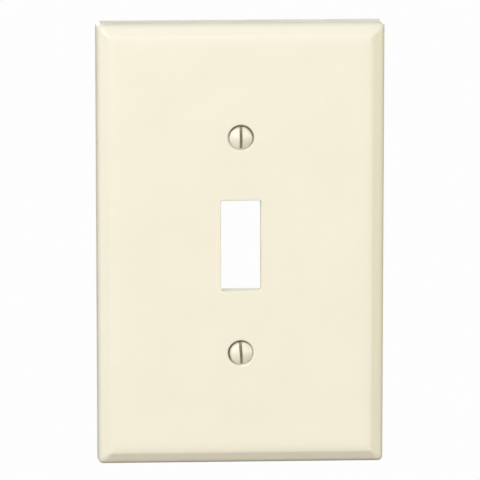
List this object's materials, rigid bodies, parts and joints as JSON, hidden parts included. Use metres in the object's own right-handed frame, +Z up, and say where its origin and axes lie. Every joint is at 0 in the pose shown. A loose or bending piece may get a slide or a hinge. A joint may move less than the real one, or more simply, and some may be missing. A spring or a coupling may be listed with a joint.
{
  "type": "toggle switch wall plate",
  "caption": "Single-gang wall plate with a bevelled border and a toggle opening, held by oval-head machine screws kept captive behind the panel.",
  "frame": {"origin": "centre of the toggle opening, on the wall plane that the plate's rim rests on", "axes": "+X right as the plate is faced, +Y into the wall, +Z up; the front face looks along -Y"},
  "size_m": [0.0794, 0.0139, 0.1238],
  "materials": {
    "ivory_plastic": "smooth moulded ivory plastic, satin gloss",
    "upper_screw_enamel": "ivory enamel on the head, zinc-plated steel thread",
    "lower_screw_enamel": "ivory enamel on the head, zinc-plated steel thread",
    "upper_retainer_nylon": "natural nylon",
    "lower_retainer_nylon": "natural nylon"
  },
  "bodies": {
    "plate": {"wallplate": "ivory_plastic"},
    "upper_carrier": {"upper_screw_retainer": "upper_retainer_nylon"},
    "upper_fastener": {"upper_screw": "upper_screw_enamel"},
    "lower_carrier": {"lower_screw_retainer": "lower_retainer_nylon"},
    "lower_fastener": {"lower_screw": "lower_screw_enamel"}
  },
  "joints": [
    {"name": "upper_screw_travel", "type": "slide", "parent": "plate", "child": "upper_carrier", "axis": [0, -1, 0], "range_m": [0, 0.00218]},
    {"name": "upper_screw_turn", "type": "hinge", "parent": "upper_carrier", "child": "upper_fastener", "pos_m": [0, -0.0064, 0.03016], "axis": [0, -1, 0], "range_deg": [0, 990]},
    {"name": "lower_screw_travel", "type": "slide", "parent": "plate", "child": "lower_carrier", "axis": [0, -1, 0], "range_m": [0, 0.00218]},
    {"name": "lower_screw_turn", "type": "hinge", "parent": "lower_carrier", "child": "lower_fastener", "pos_m": [0, -0.0064, -0.03016], "axis": [0, -1, 0], "range_deg": [0, 990]}
  ],
  "couplings": [
    {"joint": "upper_screw_turn", "follows": "upper_screw_travel", "rad_per_m": 7915.8},
    {"joint": "lower_screw_turn", "follows": "lower_screw_travel", "rad_per_m": 7915.8}
  ]
}
